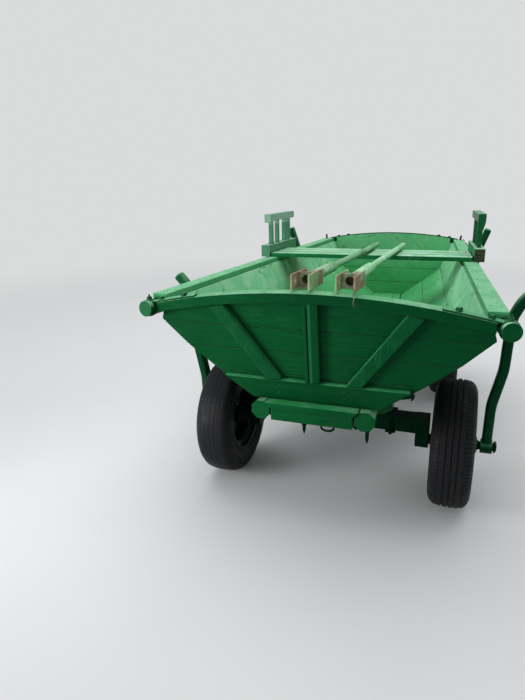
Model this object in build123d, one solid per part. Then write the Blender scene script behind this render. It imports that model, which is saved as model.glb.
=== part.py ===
"""Four-wheeled wooden farm cart on car tyres, with a boat-shaped body and a driver's seat.

Millimetres, +Z up, +Y towards the front, +X to the right. The origin is on the ground,
midway between the axles on the centreline. Each piece is written as parts/NAME.step.
"""

import os
from math import atan, cos, hypot, sin

from build123d import *

# Wheels and axles
WHEELBASE = 1500
REAR_TRACK = 1156
FRONT_TRACK = 976
TYRE_RADIUS = 310
SPINDLE_RADIUS = 25
STUB_RADIUS = 20
RUNNING_FIT = 0.05
AXLE_BEAM_WIDTH = 80
AXLE_BEAM_BOTTOM = 348
AXLE_BEAM_TOP = 428
BEAM_HALF = 404
BLOCK_HALF = 468
BLOCK_WIDTH = 92
BLOCK_BOTTOM = 282
SPINDLE_HALF = 694
STUB_HALF = 775
STUB_COLLAR_AT = 763
STUB_COLLAR_RADIUS = 28
STUB_COLLAR_THICK = 6
FRONT_IN = (REAR_TRACK - FRONT_TRACK) / 2

# Tyre section from the bead to the crown: distance from the middle plane, radius
TYRE_OUTSIDE = [(73, 178), (73, 193), (90, 214), (95, 246), (87, 282), (66, 302), (34, 309), (0, 310)]
TYRE_INSIDE = [(0, 292), (50, 286), (80, 246), (61, 181)]

# Steel rim on one side, from the flange to the well: distance from the middle plane, radius
RIM_OUTSIDE = [(73.3, 190), (73.3, 177.5), (59, 177.5), (39, 152)]
RIM_INSIDE = [(41, 147), (61, 173), (77.3, 173), (77.3, 190)]
DISC_OUTSIDE = [(20, 40), (20, 75), (38, 100), (24, 140), (24, 150)]
DISC_INSIDE = [(18, 150), (18, 138), (31, 100), (13, 78), (13, 40)]
HUB = [(-102, 42), (-40, 50), (40, 50), (60, 40), (110, 38)]
VENTS = 8
VENT_RADIUS = 12
VENT_CIRCLE = 120

# Box
BOX_HALF_LENGTH = 1211
LEAN = 0.158
LEAN_HEIGHT = 999
RAIL_HALF_REAR = 727
RAIL_HALF_FRONT = 550
PLANK = 22
BATTEN = 28
BATTEN_WIDTH = 62
SEAM = 2.5
FIT_GAP = 0.2
BOX_BOTTOM = 625
FLOOR_HALF_REAR = 275
FLOOR_BOARDS = 4
END_SEAMS = (742, 850, 955)
LEDGE_TOP = 725
LEDGE_SHORT = 22
RIB_WIDTH = 60
RIB_TOP = 978
RIBS_AT = (-850, 100, 900)

# Cross timber between the rear ends of the sills: half length, top and rear face of its two parts
CROSS_UPPER = (178, 202, 600, 624.6, 1258)
CROSS_LOWER = (178, 178, 545, 600, 1252)
CROSS_INNER_Y = 1190

# Outer face of the side at the rear end plane: x, z
SIDE_PROFILE = [
    (292, BOX_BOTTOM),
    (452, 742),
    (583, 850),
    (664, 1053.5),
]

# Edge of the end boards, wider than the sides at the top: x at the rear end plane, z
END_PROFILE = [
    (292, BOX_BOTTOM),
    (452, 742),
    (583, 850),
    (696, 965),
]

# Rails along the top of the sides
RAIL_PLANK_BOTTOM = 1054
RAIL_PLANK_TOP = 1078
RAIL_PLANK_WIDTH = 72
RAIL_PLANK_INSET = 4
RAIL_PLANK_BEYOND = 22
POLE_RADIUS = 35
POLE_HEIGHT = 1018.5
POLE_INSET = 38
POLE_HALF_LENGTH = 1300
POLE_BEND = 950
POLE_BEND_RADIUS = 1500
POLE_FLARE = 41

# Arched beams across the ends: half length, height at the middle and at the ends
BEAM_DEPTH = 45
BEAM_HEIGHT = 41
REAR_BEAM = (687, 1129, 1055)
FRONT_BEAM = (505, 1130, 1085)

# Top of the end boards: how far below the beam's top, and its corners in from the beam's ends
BOARD_DROP = 9
BOARD_CORNER = 18
BOARD_STEP = 57
BOARD_STEP_HEIGHT = 1050

# Battens on the ends: place of the leaning ones at the top and at the foot
REAR_BATTENS = (410, 174)
FRONT_BATTENS = (270, 100)
BATTEN_GAP = 3
BATTEN_CUT = 12

# Sills under the floor
SILL_RADIUS = 42
SILL_HEIGHT = BOX_BOTTOM - SILL_RADIUS
SILL_HALF_LENGTH = 1245
SILL_REAR = 228
SILL_FRONT = 85

# Bolsters, king pin and reach
BOLSTER_WIDTH = 80
REAR_BOLSTER_HALF = 290
FRONT_BOLSTER_HALF = 240
BOLSTER_CORNER = (40, 30)
CUSHION_HALF = 210
CUSHION_TOP = 470
FRONT_BOLSTER_BOTTOM = 476
KING_PIN_RADIUS = 14
KING_PIN_BOTTOM = 318
PIN_NUT = (26, 25)
TURNING_PLATE_RADIUS = 60
RUB_GAP = 0.3
REACH_RADIUS = 35
REACH_HEIGHT = 512

# Lugs on the front axle that carry the shafts
LUG_AT = 240
LUG_WIDTH = 62
LUG_REACH = 120
LUG_HEIGHT = 390
LUG_RADIUS = 30
PIN_BORE = 10
OVERRUN = 5

# Curved stakes, the foot first: x, z, bend radius
REAR_STAKE = [
    (730, 334, 0),
    (733, 520, 300),
    (770, 700, 300),
    (778, 940, 150),
    (812, 1018, 150),
    (866, 1076, 0),
]
FRONT_STAKE = [
    (640, 334, 0),
    (640, 600, 300),
    (630, 820, 300),
    (645, 1040, 150),
    (700, 1200, 0),
]
STAKE_THICK = 44
STAKE_WIDE = 56
STAKE_CORNER = 14
STAKE_TOP_CORNER = 12
FOOT_RING_RADIUS = 34
FOOT_RING_WIDTH = 52

# Seat
SEAT_REAR = 10
SLATS = 3
SLAT_WIDTH = 92
SLAT_GAP = 12
SLAT_THICK = 24
SEAT_OUT = 3
SEAT_BEAM_START = 5
SEAT_BEAM_END = 480
SEAT_BEAM_WIDTH = 56
SEAT_BEAM_TOP = 1150
SEAT_CLEAR = 2
ARM_START = 45
ARM_END = 460
ARM_BOTTOM = 1297
ARM_TOP = 1340
ARM_WIDTH = 42
BALUSTER_WIDTH = 24
BALUSTER_DEPTH = 30
BALUSTERS_AT = (100, 198, 321, 392)

# Rear end of each armrest: its length along the rail, how far it reaches below the rail
ARM_BLOCKS = {"left": (34, 10), "right": (34, 52)}

# Stowed shafts: x at the fork's middle and at the far end
SHAFTS = {"left": (-32, 0), "right": (145, 172)}
SHAFT_RADIUS = 16
SHAFT_START_Y = -1300
SHAFT_END_Y = 470
SLEEVE_RADIUS = 24
SLEEVE_BORE = 19
SLEEVE_LENGTH = 440
FORK_PLATE = 7
FORK_GAP = 64
FORK_HEIGHT = 62
FORK_LENGTH = 205
FORK_PIN_AT = 45
FORK_WEB_AT = 85
FORK_REST = 3
TUBE_REST = 0.5
MOUTH_DEPTH = 56

SIDES = {"left": -1, "right": 1}


def taper():
    return (RAIL_HALF_REAR - RAIL_HALF_FRONT) / (2 * BOX_HALF_LENGTH)


def inset(y):
    """How far the side has come in from its place at the rear."""
    return taper() * (y + BOX_HALF_LENGTH)


def end_y(z, end):
    """Place of the leaning end plane at a height; end is -1 at the rear, 1 at the front."""
    return end * (BOX_HALF_LENGTH + LEAN * (z - LEAN_HEIGHT))


def outward(end):
    """Direction square to the end plane, out of the box."""
    angle = atan(LEAN)
    return Vector(0, end * cos(angle), -sin(angle))


def foot_height(out):
    """Height on the end plane at which a board's outer edge just stands on the sills."""
    return BOX_BOTTOM + out * sin(atan(LEAN)) + FIT_GAP


def offset_line(points, distance):
    """The same open line moved sideways, mitred at its corners."""
    moved = []
    for i, (x, z) in enumerate(points):
        normals = []
        for a, b in ((i - 1, i), (i, i + 1)):
            if a < 0 or b >= len(points):
                continue
            dx = points[b][0] - points[a][0]
            dz = points[b][1] - points[a][1]
            length = hypot(dx, dz)
            normals.append((dz / length, -dx / length))
        nx = sum(n[0] for n in normals) / len(normals)
        nz = sum(n[1] for n in normals) / len(normals)
        scale = distance / (nx * nx + nz * nz)
        moved.append((x + nx * scale, z + nz * scale))
    return moved


def polygon(points):
    return Face(Wire.make_polygon([Vector(*p) for p in points]))


def prism(start, stop):
    """Flat faced solid between two outlines with as many corners each."""
    faces = [polygon(start), polygon(stop)]
    for i in range(len(start)):
        after = (i + 1) % len(start)
        faces.append(polygon([start[i], start[after], stop[after], stop[i]]))
    return Solid(Shell(faces))


def along_side(section, start, stop):
    """Prism that follows the side's taper. section holds x at the rear and z.
    start and stop give y at a height."""
    rings = []
    for place in (start, stop):
        rings.append([(x - inset(place(z)), place(z), z) for x, z in section])
    return prism(*rings)


def full_length(section):
    return along_side(section, lambda z: end_y(z, -1), lambda z: end_y(z, 1))


def between(section, y_from, y_to):
    return along_side(section, lambda z: y_from, lambda z: y_to)


def tapered_board(rows, beyond_rear=0):
    """Board along the cart with rows of x at the rear, x at the front, z.
    It may run beyond the rear end plane."""
    rings = []
    for end in (-1, 1):
        corners = []
        for x_rear, x_front, z in rows:
            y = end_y(z, end) - (beyond_rear if end < 0 else 0)
            share = (y + BOX_HALF_LENGTH) / (2 * BOX_HALF_LENGTH)
            corners.append((x_rear + (x_front - x_rear) * share, y, z))
        rings.append(corners)
    return prism(*rings)


def side(part, sign):
    return part if sign > 0 else mirror(part, Plane.YZ)


def block(x_from, x_to, y_from, y_to, z_from, z_to):
    return Pos((x_from + x_to) / 2, (y_from + y_to) / 2, (z_from + z_to) / 2) * Box(
        x_to - x_from, y_to - y_from, z_to - z_from
    )


def rod(start, stop, radius):
    """Round bar from one point to another."""
    line = Vector(*stop) - Vector(*start)
    return extrude(Plane(origin=start, z_dir=line) * Circle(radius), line.length)


def cross_rod(x_from, x_to, y, z, radius):
    """Round bar across the cart."""
    return rod((x_from, y, z), (x_to, y, z), radius)


def x_at(profile, z):
    """Where an outline stands at a height."""
    for (x1, z1), (x2, z2) in zip(profile, profile[1:]):
        if z <= z2:
            break
    return x1 + (x2 - x1) * (z - z1) / (z2 - z1)


def side_planks():
    top = SIDE_PROFILE[-1][1]
    inner = offset_line(SIDE_PROFILE, -PLANK)
    inner[-1] = (x_at(inner, top), top)
    planks = []
    for i in range(len(SIDE_PROFILE) - 1):
        (x1, z1), (x2, z2) = SIDE_PROFILE[i], SIDE_PROFILE[i + 1]
        (x4, z4), (x3, z3) = inner[i], inner[i + 1]
        trim = SEAM / 2 / hypot(x2 - x1, z2 - z1)
        section = [
            (x1 + (x2 - x1) * trim, z1 + (z2 - z1) * trim),
            (x2 - (x2 - x1) * trim, z2 - (z2 - z1) * trim),
            (x3 - (x3 - x4) * trim, z3 - (z3 - z4) * trim),
            (x4 + (x3 - x4) * trim, z4 + (z3 - z4) * trim),
        ]
        planks.append(full_length(section))
    return planks


def side_ribs():
    backed = [*SIDE_PROFILE[:-1], (x_at(SIDE_PROFILE, RIB_TOP), RIB_TOP)]
    section = backed + offset_line(backed, BATTEN)[::-1]
    half = RIB_WIDTH / 2
    return [between(section, y - half, y + half) for y in RIBS_AT]


def rail_plank():
    rear, front = RAIL_HALF_REAR - RAIL_PLANK_INSET, RAIL_HALF_FRONT - RAIL_PLANK_INSET
    rows = [
        (rear - RAIL_PLANK_WIDTH, front - RAIL_PLANK_WIDTH, RAIL_PLANK_BOTTOM),
        (rear, front, RAIL_PLANK_BOTTOM),
        (rear, front, RAIL_PLANK_TOP),
        (rear - RAIL_PLANK_WIDTH, front - RAIL_PLANK_WIDTH, RAIL_PLANK_TOP),
    ]
    return tapered_board(rows, RAIL_PLANK_BEYOND)


def rail_pole():
    def centre(y, out):
        return RAIL_HALF_REAR - inset(y) - POLE_INSET + out

    points = [
        (centre(-POLE_HALF_LENGTH, POLE_FLARE), -POLE_HALF_LENGTH, POLE_HEIGHT),
        (centre(-POLE_BEND, 0), -POLE_BEND, POLE_HEIGHT),
        (centre(POLE_BEND, 0), POLE_BEND, POLE_HEIGHT),
        (centre(POLE_HALF_LENGTH, POLE_FLARE), POLE_HALF_LENGTH, POLE_HEIGHT),
    ]
    path = FilletPolyline(*points, radius=POLE_BEND_RADIUS)
    return sweep(Plane(origin=path @ 0, z_dir=path % 0) * Circle(POLE_RADIUS), path)


def half_width(z, end):
    """Half width of the end boards at a height."""
    return x_at(END_PROFILE, z) - inset(end_y(z, end))


def on_end(x, z, end, out=0):
    """Point on the end plane, moved out of the box by a distance."""
    return Vector(x, end_y(z, end), z) + outward(end) * out


def end_panel(points, end, out, thick):
    face = Face(Wire.make_polygon([on_end(x, z, end, out) for x, z in points]))
    return extrude(face, thick, dir=outward(end))


def level_board(low, high, end, out, thick, short=0):
    """Board across an end, as wide as the box at each height or shorter at each side."""
    points = []
    for z, sign in ((low, -1), (low, 1), (high, 1), (high, -1)):
        points.append((sign * (half_width(z, end) - short), z))
    return end_panel(points, end, out, thick)


def end_boards(end, beam):
    """Level boards of an end, the top one arched under the beam."""
    half, middle, tip = beam[0], beam[1] - BOARD_DROP, beam[2] - BOARD_DROP
    levels = [foot_height(PLANK), *END_SEAMS]
    boards = []
    for low, high in zip(levels, levels[1:]):
        boards.append(level_board(low, high - SEAM, end, 0, PLANK))
    low = END_SEAMS[-1]
    top = END_PROFILE[-1][1]
    corner, step = half - BOARD_CORNER, half - BOARD_STEP
    step_top = tip + (middle - tip) * (1 - (step / half) ** 2)
    outline = [
        (half_width(low, end), low),
        (half_width(top, end), top),
        (corner, BOARD_STEP_HEIGHT),
        (step, BOARD_STEP_HEIGHT),
        (step, step_top),
    ]
    right = [on_end(x, z, end) for x, z in outline]
    left = [on_end(-x, z, end) for x, z in outline]
    edges = [Line(left[0], right[0])]
    for points in (right, left):
        edges += [Line(a, b) for a, b in zip(points, points[1:])]
    edges.append(ThreePointArc(right[-1], on_end(0, middle, end), left[-1]))
    boards.append(extrude(Face(Wire(edges)), PLANK, dir=outward(end)))
    return boards


def end_beam(end, beam):
    half, middle, tip = beam
    arcs = []
    for drop in (0, BEAM_HEIGHT):
        arcs.append(
            ThreePointArc(
                on_end(-half, tip - drop, end, PLANK),
                on_end(0, middle - drop, end, PLANK),
                on_end(half, tip - drop, end, PLANK),
            )
        )
    upper, lower = arcs
    edges = [upper, Line(upper @ 1, lower @ 1), lower, Line(lower @ 0, upper @ 0)]
    return extrude(Face(Wire(edges)), BEAM_DEPTH, dir=outward(end))


def end_battens(end, beam, leaning):
    """Upright batten in the middle and two that lean outwards."""
    half, middle, tip = beam
    spread, foot = leaning
    clear = BEAM_HEIGHT + BATTEN_GAP
    low = LEDGE_TOP + BATTEN_GAP
    wide = BATTEN_WIDTH / 2
    top = middle - clear
    lean_top = tip + (middle - tip) * (1 - (spread / half) ** 2) - clear
    upright = [(-wide, low), (wide, low), (wide, top), (-wide, top)]
    battens = [end_panel(upright, end, PLANK, BATTEN)]
    leaning_right = [
        (foot - wide, low),
        (foot + wide, low),
        (spread + wide, lean_top - BATTEN_CUT),
        (spread - wide, lean_top),
    ]
    leaning_left = [(-x, z) for x, z in reversed(leaning_right)]
    for points in (leaning_left, leaning_right):
        battens.append(end_panel(points, end, PLANK, BATTEN))
    return battens


def end_ledge(end):
    foot = foot_height(PLANK + BATTEN)
    return level_board(foot, LEDGE_TOP, end, PLANK, BATTEN, LEDGE_SHORT)


def cross_timber():
    """Two part timber between the rear sill ends, its upper ends cut to the sills' sloping faces."""
    parts = []
    for half_low, half_high, low, high, rear in (CROSS_UPPER, CROSS_LOWER):
        rings = []
        outline = [(-half_low, low), (half_low, low), (half_high, high), (-half_high, high)]
        for y in (-rear, -CROSS_INNER_Y):
            rings.append([(x, y, z) for x, z in outline])
        parts.append(prism(*rings))
    return parts


def floor_boards():
    boards = []
    half_rear = FLOOR_HALF_REAR
    half_front = FLOOR_HALF_REAR - inset(BOX_HALF_LENGTH)
    gap = SEAM / 2
    for i in range(FLOOR_BOARDS):
        low = 2 * i / FLOOR_BOARDS - 1
        high = 2 * (i + 1) / FLOOR_BOARDS - 1
        rows = [
            (low * half_rear + gap, low * half_front + gap, BOX_BOTTOM),
            (high * half_rear - gap, high * half_front - gap, BOX_BOTTOM),
            (high * half_rear - gap, high * half_front - gap, BOX_BOTTOM + PLANK),
            (low * half_rear + gap, low * half_front + gap, BOX_BOTTOM + PLANK),
        ]
        boards.append(tapered_board(rows))
    return boards


def sill():
    start = Vector(SILL_REAR, -SILL_HALF_LENGTH, SILL_HEIGHT)
    stop = Vector(SILL_FRONT, SILL_HALF_LENGTH, SILL_HEIGHT)
    line = stop - start
    across = Vector(line.Y, -line.X, 0)
    plane = Plane(origin=start, x_dir=across, z_dir=line)
    octagon = RegularPolygon(SILL_RADIUS, 8, major_radius=False, rotation=22.5)
    return extrude(plane * octagon, line.length)


def bolster(y, half, bottom):
    z_top = SILL_HEIGHT - SILL_RADIUS
    along, up = BOLSTER_CORNER
    points = [
        (-half, bottom + up),
        (along - half, bottom),
        (half - along, bottom),
        (half, bottom + up),
        (half, z_top),
        (-half, z_top),
    ]
    rings = [[(x, y + shift, z) for x, z in points] for shift in (-BOLSTER_WIDTH / 2, BOLSTER_WIDTH / 2)]
    return prism(*rings)


def front_bolster(y):
    bore = rod((0, y, FRONT_BOLSTER_BOTTOM - OVERRUN), (0, y, SILL_HEIGHT), KING_PIN_RADIUS)
    return bolster(y, FRONT_BOLSTER_HALF, FRONT_BOLSTER_BOTTOM) - bore


def axle(y, shorter=0):
    """Beam with a block, a spindle and a stub at each end, each side shorter by a length."""
    half = AXLE_BEAM_WIDTH / 2
    wide = BLOCK_WIDTH / 2
    beam_end, block_end, spindle_end, stub_end, collar = (
        length - shorter for length in (BEAM_HALF, BLOCK_HALF, SPINDLE_HALF, STUB_HALF, STUB_COLLAR_AT)
    )
    part = block(-beam_end, beam_end, y - half, y + half, AXLE_BEAM_BOTTOM, AXLE_BEAM_TOP)
    for sign in (-1, 1):
        inner, outer = sorted((sign * beam_end, sign * block_end))
        part += block(inner, outer, y - wide, y + wide, BLOCK_BOTTOM, AXLE_BEAM_TOP)
        part += cross_rod(sign * block_end, sign * spindle_end, y, TYRE_RADIUS, SPINDLE_RADIUS)
        part += cross_rod(sign * spindle_end, sign * stub_end, y, TYRE_RADIUS, STUB_RADIUS)
        collar_end = collar + STUB_COLLAR_THICK
        part += cross_rod(sign * collar, sign * collar_end, y, TYRE_RADIUS, STUB_COLLAR_RADIUS)
    return part


def front_axle(y):
    half = AXLE_BEAM_WIDTH / 2
    part = axle(y, FRONT_IN)
    part += block(-CUSHION_HALF, CUSHION_HALF, y - half, y + half, AXLE_BEAM_TOP, CUSHION_TOP)
    part -= rod((0, y, BLOCK_BOTTOM), (0, y, CUSHION_TOP + OVERRUN), KING_PIN_RADIUS + RUNNING_FIT)
    return part


def shaft_lugs(y):
    """Two rounded lugs on the front of the axle, each bored for a shaft's pin."""
    face = y + AXLE_BEAM_WIDTH / 2
    eye = y + LUG_REACH
    lugs = []
    for x in (-LUG_AT, LUG_AT):
        start, stop = x - LUG_WIDTH / 2, x + LUG_WIDTH / 2
        lug = block(start, stop, face, eye, LUG_HEIGHT - LUG_RADIUS, LUG_HEIGHT + LUG_RADIUS)
        lug += cross_rod(start, stop, eye, LUG_HEIGHT, LUG_RADIUS)
        lugs.append(lug - cross_rod(start - OVERRUN, stop + OVERRUN, eye, LUG_HEIGHT, PIN_BORE))
    return lugs


def king_pin(y):
    nut_radius, nut_height = PIN_NUT
    nut_top = AXLE_BEAM_BOTTOM - RUB_GAP
    part = rod((0, y, KING_PIN_BOTTOM), (0, y, SILL_HEIGHT - SILL_RADIUS), KING_PIN_RADIUS)
    part += rod((0, y, nut_top - nut_height), (0, y, nut_top), nut_radius)
    part += rod((0, y, CUSHION_TOP + RUB_GAP), (0, y, FRONT_BOLSTER_BOTTOM), TURNING_PLATE_RADIUS)
    return part


def stake(rows, y):
    """Bent stake with a rounded top, on a ring that slips over the axle's stub."""
    corners = [(x, y, z) for x, z, radius in rows]
    radii = [radius for x, z, radius in rows][1:-1]
    path = FilletPolyline(*corners, radius=radii)
    plane = Plane(origin=path @ 0, x_dir=(1, 0, 0), z_dir=path % 0)
    post = sweep(plane * RectangleRounded(STAKE_THICK, STAKE_WIDE, STAKE_CORNER), path)
    top = post.faces().sort_by(Axis.Z)[-1]
    post = fillet(top.edges(), STAKE_TOP_CORNER)
    half = FOOT_RING_WIDTH / 2
    foot = rows[0][0]
    start, stop = foot - half, foot + half
    post += cross_rod(start, stop, y, TYRE_RADIUS, FOOT_RING_RADIUS)
    bore = STUB_RADIUS + RUNNING_FIT
    return post - cross_rod(start - OVERRUN, stop + OVERRUN, y, TYRE_RADIUS, bore)


def seat_centre(y):
    """Middle of the seat beam and armrest, out from the centreline."""
    return RAIL_HALF_REAR + SEAT_OUT - inset(y)


def seat_slats():
    slats = []
    for i in range(SLATS):
        y = SEAT_REAR + i * (SLAT_WIDTH + SLAT_GAP)
        half = seat_centre(y + SLAT_WIDTH) - SEAT_BEAM_WIDTH / 2 - SEAT_CLEAR
        slats.append(
            block(-half, half, y, y + SLAT_WIDTH, RAIL_PLANK_TOP, RAIL_PLANK_TOP + SLAT_THICK)
        )
    return slats


def seat_bar(width, low, high, start, stop):
    """Bar along the seat's end, in line with the rail."""
    outer = RAIL_HALF_REAR + SEAT_OUT + width / 2
    inner = outer - width
    return between([(inner, low), (outer, low), (outer, high), (inner, high)], start, stop)


def seat_beam():
    return seat_bar(SEAT_BEAM_WIDTH, RAIL_PLANK_TOP, SEAT_BEAM_TOP, SEAT_BEAM_START, SEAT_BEAM_END)


def armrest(name):
    """Rail with a round front end and a stepped rear end, on four balusters."""
    rounding = (ARM_TOP - ARM_BOTTOM) / 2
    part = seat_bar(ARM_WIDTH, ARM_BOTTOM, ARM_TOP, ARM_START, ARM_END - rounding)
    x_end = seat_centre(ARM_END - rounding)
    across = Vector(1, taper(), 0).normalized() * (ARM_WIDTH / 2)
    middle = Vector(x_end, ARM_END - rounding, ARM_BOTTOM + rounding)
    part += rod(tuple(middle - across), tuple(middle + across), rounding)
    for y in BALUSTERS_AT:
        x = seat_centre(y)
        wide, deep = BALUSTER_WIDTH / 2, BALUSTER_DEPTH / 2
        part += block(x - wide, x + wide, y - deep, y + deep, SEAT_BEAM_TOP, ARM_BOTTOM)
    length, drop = ARM_BLOCKS[name]
    centre = seat_centre(ARM_START)
    rings = []
    for z, reach in ((ARM_BOTTOM, ARM_WIDTH / 2), (ARM_BOTTOM - drop, ARM_WIDTH / 2 - drop / 4)):
        x_from, x_to = centre - ARM_WIDTH / 2, centre + reach
        y_from, y_to = ARM_START, ARM_START + length
        rings.append([(x_from, y_from, z), (x_to, y_from, z), (x_to, y_to, z), (x_from, y_to, z)])
    return part + prism(*rings)


def shaft(x_fork, x_end):
    """Tube with a sleeve and a two plate fork, lying on the rear beam and the seat."""
    seat_front = SEAT_REAR + SLATS * SLAT_WIDTH + (SLATS - 1) * SLAT_GAP
    seat_z = RAIL_PLANK_TOP + SLAT_THICK + SHAFT_RADIUS + TUBE_REST
    fork_z = REAR_BEAM[1] + FORK_HEIGHT / 2 + FORK_REST
    slope = (fork_z - seat_z) / (seat_front - SHAFT_START_Y)
    end_z = fork_z - slope * (SHAFT_END_Y - SHAFT_START_Y)
    start = Vector(x_fork, SHAFT_START_Y, fork_z)
    line = Vector(x_end, SHAFT_END_Y, end_z) - start
    plane = Plane(origin=start, x_dir=Vector(line.Y, -line.X, 0), z_dir=line)
    on_low = (Align.CENTER, Align.CENTER, Align.MIN)
    sleeve_from = Pos(0, 0, FORK_WEB_AT)
    part = sleeve_from * Cylinder(SHAFT_RADIUS, line.length - FORK_WEB_AT, align=on_low)
    part += sleeve_from * Cylinder(SLEEVE_RADIUS, SLEEVE_LENGTH, align=on_low)
    part += sleeve_from * Box(FORK_GAP, FORK_HEIGHT, FORK_PLATE, align=on_low)
    for sign in (-1, 1):
        ear = Box(FORK_PLATE, FORK_HEIGHT, FORK_LENGTH, align=on_low)
        part += Pos(sign * (FORK_GAP + FORK_PLATE) / 2, 0, 0) * ear
    part -= sleeve_from * Cylinder(SLEEVE_BORE, MOUTH_DEPTH, align=on_low)
    part -= Pos(0, 0, FORK_PIN_AT) * Rot(0, 90, 0) * Cylinder(PIN_BORE, 2 * FORK_GAP)
    return plane * part


def turned(outline):
    """Solid turned about the wheel's axis from an outline of x and radius."""
    return revolve(polygon([(x, 0, radius) for x, radius in outline]), Axis.X, 360)


def both_sides(half_outline):
    """Outline from one side of the middle plane over to the other."""
    mirrored = [(-x, radius) for x, radius in reversed(half_outline) if x > 0]
    return half_outline + mirrored


def tyre():
    inside = both_sides([(x, radius) for x, radius in reversed(TYRE_INSIDE)])
    return turned(both_sides(TYRE_OUTSIDE) + inside[::-1])


def rim():
    """Steel wheel with its hub; the outer side is +X."""
    part = turned(both_sides(RIM_OUTSIDE) + both_sides(RIM_INSIDE[::-1])[::-1])
    part += turned(DISC_OUTSIDE + DISC_INSIDE)
    bore = SPINDLE_RADIUS + RUNNING_FIT
    part += turned([(HUB[0][0], bore), *HUB, (HUB[-1][0], bore)])
    crown = DISC_OUTSIDE[2][0]
    for i in range(VENTS):
        vent = Pos(crown, 0, VENT_CIRCLE) * Rot(0, 90, 0) * Cylinder(VENT_RADIUS, 2 * crown)
        part -= Rot(360 * i / VENTS, 0, 0) * vent
    return part


def wheel_place(part, sign, y, track):
    return Pos(sign * track / 2, y, TYRE_RADIUS) * side(part, sign)


def write(name, parts):
    shape = Compound(children=list(parts)) if isinstance(parts, list) else parts
    export_step(shape, f"parts/{name}.step")


def main():
    os.makedirs("parts", exist_ok=True)
    rear_y, front_y = -WHEELBASE / 2, WHEELBASE / 2
    write("floor_boards", floor_boards())
    for name, sign in SIDES.items():
        write(f"side_planks_{name}", [side(p, sign) for p in side_planks()])
        write(f"side_ribs_{name}", [side(p, sign) for p in side_ribs()])
        write(f"rail_plank_{name}", side(rail_plank(), sign))
        write(f"rail_pole_{name}", side(rail_pole(), sign))
        write(f"sill_{name}", side(sill(), sign))
        write(f"rear_stake_{name}", side(stake(REAR_STAKE, rear_y), sign))
        write(f"front_stake_{name}", side(stake(FRONT_STAKE, front_y), sign))
        write(f"seat_beam_{name}", side(seat_beam(), sign))
        write(f"armrest_{name}", side(armrest(name), sign))
        write(f"shaft_{name}", shaft(*SHAFTS[name]))
    for name, end, beam, battens in (
        ("rear", -1, REAR_BEAM, REAR_BATTENS),
        ("front", 1, FRONT_BEAM, FRONT_BATTENS),
    ):
        write(f"{name}_boards", end_boards(end, beam))
        write(f"{name}_arch_beam", end_beam(end, beam))
        write(f"{name}_battens", end_battens(end, beam, battens))
        write(f"{name}_ledge", end_ledge(end))
    write("rear_cross_board", cross_timber())
    write("rear_bolster", bolster(rear_y, REAR_BOLSTER_HALF, AXLE_BEAM_TOP))
    write("front_bolster", front_bolster(front_y))
    reach_from = (0, rear_y + BOLSTER_WIDTH / 2, REACH_HEIGHT)
    reach_to = (0, front_y - BOLSTER_WIDTH / 2, REACH_HEIGHT)
    write("reach_pole", rod(reach_from, reach_to, REACH_RADIUS))
    write("rear_axle", axle(rear_y))
    write("front_axle", front_axle(front_y))
    write("shaft_lugs", shaft_lugs(front_y))
    write("king_pin", king_pin(front_y))
    write("seat_slats", seat_slats())
    for place, y, track in (("rear", rear_y, REAR_TRACK), ("front", front_y, FRONT_TRACK)):
        for name, sign in SIDES.items():
            write(f"{place}_tyre_{name}", wheel_place(tyre(), sign, y, track))
            write(f"{place}_wheel_{name}", wheel_place(rim(), sign, y, track))


main()
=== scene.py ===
"""Looks of the four-wheeled wooden farm cart: paint, rubber, rust, fasteners, floor, light, camera.

Metres, +Z up, +Y towards the front of the cart, +X to its right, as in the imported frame.
"""

from collections import namedtuple
from math import atan, cos, pi, radians, sin

import bmesh
import bpy
from mathutils import Matrix, Vector


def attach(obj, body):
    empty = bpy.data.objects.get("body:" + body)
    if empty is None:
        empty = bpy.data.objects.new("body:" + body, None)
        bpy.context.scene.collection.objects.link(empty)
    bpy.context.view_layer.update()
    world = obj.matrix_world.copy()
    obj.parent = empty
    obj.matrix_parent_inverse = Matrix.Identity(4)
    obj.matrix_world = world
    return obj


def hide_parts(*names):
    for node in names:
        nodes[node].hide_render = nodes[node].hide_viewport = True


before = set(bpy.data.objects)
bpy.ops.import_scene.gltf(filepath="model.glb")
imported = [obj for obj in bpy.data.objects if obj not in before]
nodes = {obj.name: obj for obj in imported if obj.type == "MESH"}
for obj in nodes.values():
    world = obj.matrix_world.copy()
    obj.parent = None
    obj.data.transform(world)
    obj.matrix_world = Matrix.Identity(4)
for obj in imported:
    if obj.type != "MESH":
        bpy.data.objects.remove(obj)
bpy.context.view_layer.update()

# Camera of the photograph: place, turn to the left, tilt down, roll, lens on a 36 mm high frame
CAMERA_AT = (0.5525, -3.2998, 1.5391)
CAMERA_YAW = 20.424
CAMERA_PITCH = 17.251
CAMERA_ROLL = -1.307
CAMERA_LENS = 27.86
CAMERA_FRAME = 36

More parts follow.
